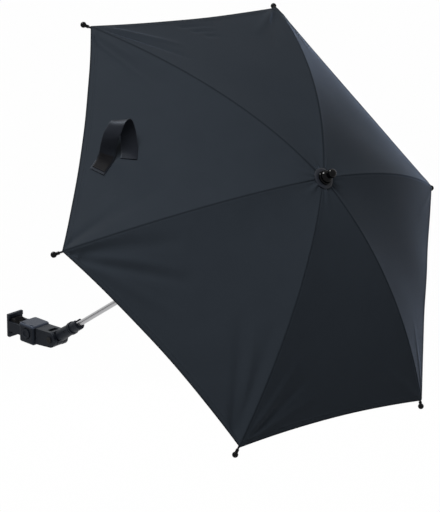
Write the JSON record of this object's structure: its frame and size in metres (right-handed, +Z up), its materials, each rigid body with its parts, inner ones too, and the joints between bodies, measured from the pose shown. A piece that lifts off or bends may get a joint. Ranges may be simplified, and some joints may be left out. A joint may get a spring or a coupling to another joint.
{
  "type": "pram parasol",
  "caption": "Small folding parasol with a hexagonal cloth canopy on a straight shaft, held by a tilting elbow and a sliding-jaw tube clamp for a pram.",
  "frame": {"origin": "centre of the tube clamp, on the axis of the pram tube at mid height of the jaw pads", "axes": "+Z up along the gripped tube, +X level from the clamp towards the canopy, +Y to the left of that"},
  "size_m": [0.6841, 0.694, 0.5617],
  "materials": {
    "black_plastic": "fine grain",
    "grey_plastic": "satin",
    "washer_plastic": "matte",
    "gloss_black": "gloss",
    "pad_rubber": "matte",
    "nylon": "satin",
    "steel": "brushed",
    "black_steel": "satin black",
    "satin_aluminium": "satin",
    "canopy_cloth": "plain weave with a soft sheen",
    "strap_webbing": "satin webbing",
    "hook_tape": "hook and loop"
  },
  "bodies": {
    "clamp": {"clamp_body": "black_plastic", "clamp_cover": "grey_plastic", "body_pad": "pad_rubber", "button_spring": "steel"},
    "jaw": {"sliding_jaw": "black_plastic", "jaw_pad": "pad_rubber"},
    "button": {"release_button": "black_plastic"},
    "knuckle": {"knuckle": "black_plastic", "swivel_bolt": "steel", "elbow_pin": "black_steel", "elbow_nut": "black_steel", "friction_washers": "nylon"},
    "arm": {"socket_arm": "black_plastic", "arm_collar": "black_plastic", "socket_rivet": "black_steel", "shaft_tube": "satin_aluminium", "crown": "black_plastic", "crown_pins": "steel", "canopy_washer": "washer_plastic", "finial": "gloss_black"},
    "runner": {"runner": "black_plastic"},
    "catch": {"runner_catch": "steel"},
    "rib_1": {"rib_1": "black_steel", "rib_tip_1": "gloss_black", "canopy_panel_1": "canopy_cloth"},
    "stretcher_1": {"stretcher_1": "black_steel"},
    "rib_2": {"rib_2": "black_steel", "rib_tip_2": "gloss_black", "canopy_panel_2": "canopy_cloth"},
    "stretcher_2": {"stretcher_2": "black_steel"},
    "rib_3": {"rib_3": "black_steel", "rib_tip_3": "gloss_black", "canopy_panel_3": "canopy_cloth"},
    "stretcher_3": {"stretcher_3": "black_steel"},
    "rib_4": {"rib_4": "black_steel", "rib_tip_4": "gloss_black", "canopy_panel_4": "canopy_cloth"},
    "stretcher_4": {"stretcher_4": "black_steel"},
    "rib_5": {"rib_5": "black_steel", "rib_tip_5": "gloss_black", "canopy_panel_5": "canopy_cloth", "closing_strap": "strap_webbing", "strap_patch": "hook_tape"},
    "stretcher_5": {"stretcher_5": "black_steel"},
    "rib_6": {"rib_6": "black_steel", "rib_tip_6": "gloss_black", "canopy_panel_6": "canopy_cloth"},
    "stretcher_6": {"stretcher_6": "black_steel"}
  },
  "joints": [
    {"name": "jaw_slide", "type": "slide", "parent": "clamp", "child": "jaw", "axis": [-1, 0, 0], "range_m": [-0.004, 0.0155]},
    {"name": "button_press", "type": "slide", "parent": "clamp", "child": "button", "axis": [0, 1, 0], "range_m": [0, 0.0016], "stiffness_N_per_m": 800, "springref_m": -0.001, "deforming": ["button_spring"]},
    {"name": "knuckle_swivel", "type": "hinge", "parent": "clamp", "child": "knuckle", "pos_m": [0.0445, 0, 0], "axis": [1, 0, 0], "range_deg": [-90, 90]},
    {"name": "elbow_tilt", "type": "hinge", "parent": "knuckle", "child": "arm", "pos_m": [0.0765, 0, 0.002], "axis": [0, -1, 0], "range_deg": [-35, 55]},
    {"name": "runner_slide", "type": "slide", "parent": "arm", "child": "runner", "axis": [-0.8192, 0, -0.5736], "range_m": [0, 0.21634], "deforming": ["runner_catch"]},
    {"name": "catch_press", "type": "slide", "parent": "arm", "child": "catch", "axis": [-0.3371, -0.809, 0.4815], "range_m": [0, 0.003], "stiffness_N_per_m": 500, "springref_m": -0.002},
    {"name": "rib_fold_1", "type": "hinge", "parent": "arm", "child": "rib_1", "pos_m": [0.59509, 0.00386, 0.35452], "axis": [-0.2333, 0.9135, 0.3332], "range_deg": [-0.5, 65.5], "deforming": ["canopy_panel_1"]},
    {"name": "rib_fold_2", "type": "hinge", "parent": "arm", "child": "rib_2", "pos_m": [0.59068, 0.00945, 0.36082], "axis": [-0.5704, 0.1045, 0.8147], "range_deg": [-0.5, 65.5], "deforming": ["canopy_panel_2"]},
    {"name": "rib_fold_3", "type": "hinge", "parent": "arm", "child": "rib_3", "pos_m": [0.5857, 0.00558, 0.36793], "axis": [-0.3371, -0.809, 0.4815], "range_deg": [-0.5, 65.5], "deforming": ["canopy_panel_3"]},
    {"name": "rib_fold_4", "type": "hinge", "parent": "arm", "child": "rib_4", "pos_m": [0.58513, -0.00386, 0.36874], "axis": [0.2333, -0.9135, -0.3332], "range_deg": [-0.5, 65.5], "deforming": ["canopy_panel_4"]},
    {"name": "rib_fold_5", "type": "hinge", "parent": "arm", "child": "rib_5", "pos_m": [0.58954, -0.00945, 0.36245], "axis": [0.5704, -0.1045, -0.8147], "range_deg": [-0.5, 65.5], "deforming": ["canopy_panel_5", "closing_strap", "strap_patch"]},
    {"name": "rib_fold_6", "type": "hinge", "parent": "arm", "child": "rib_6", "pos_m": [0.59452, -0.00558, 0.35534], "axis": [0.3371, 0.809, -0.4815], "range_deg": [-0.5, 65.5], "deforming": ["canopy_panel_6"]},
    {"name": "stretcher_fold_1", "type": "hinge", "parent": "rib_1", "child": "stretcher_1", "pos_m": [0.64272, 0.06037, 0.23295], "axis": [0.2333, -0.9135, -0.3332], "range_deg": [-1, 131]},
    {"name": "stretcher_fold_2", "type": "hinge", "parent": "rib_2", "child": "stretcher_2", "pos_m": [0.57385, 0.1476, 0.33131], "axis": [0.5704, -0.1045, -0.8147], "range_deg": [-1, 131]},
    {"name": "stretcher_fold_3", "type": "hinge", "parent": "rib_3", "child": "stretcher_3", "pos_m": [0.49608, 0.08724, 0.44238], "axis": [0.3371, 0.809, -0.4815], "range_deg": [-1, 131]},
    {"name": "stretcher_fold_4", "type": "hinge", "parent": "rib_4", "child": "stretcher_4", "pos_m": [0.48719, -0.06037, 0.45509], "axis": [-0.2333, 0.9135, 0.3332], "range_deg": [-1, 131]},
    {"name": "stretcher_fold_5", "type": "hinge", "parent": "rib_5", "child": "stretcher_5", "pos_m": [0.55606, -0.1476, 0.35673], "axis": [-0.5704, 0.1045, 0.8147], "range_deg": [-1, 131]},
    {"name": "stretcher_fold_6", "type": "hinge", "parent": "rib_6", "child": "stretcher_6", "pos_m": [0.63382, -0.08724, 0.24566], "axis": [-0.3371, -0.809, 0.4815], "range_deg": [-1, 131]}
  ],
  "couplings": [
    {"joint": "rib_fold_1", "follows": "runner_slide", "rad_per_m": 5.2438},
    {"joint": "rib_fold_2", "follows": "runner_slide", "rad_per_m": 5.2438},
    {"joint": "rib_fold_3", "follows": "runner_slide", "rad_per_m": 5.2438},
    {"joint": "rib_fold_4", "follows": "runner_slide", "rad_per_m": 5.2438},
    {"joint": "rib_fold_5", "follows": "runner_slide", "rad_per_m": 5.2438},
    {"joint": "rib_fold_6", "follows": "runner_slide", "rad_per_m": 5.2438},
    {"joint": "stretcher_fold_1", "follows": "runner_slide", "rad_per_m": 10.488},
    {"joint": "stretcher_fold_2", "follows": "runner_slide", "rad_per_m": 10.488},
    {"joint": "stretcher_fold_3", "follows": "runner_slide", "rad_per_m": 10.488},
    {"joint": "stretcher_fold_4", "follows": "runner_slide", "rad_per_m": 10.488},
    {"joint": "stretcher_fold_5", "follows": "runner_slide", "rad_per_m": 10.488},
    {"joint": "stretcher_fold_6", "follows": "runner_slide", "rad_per_m": 10.488}
  ]
}
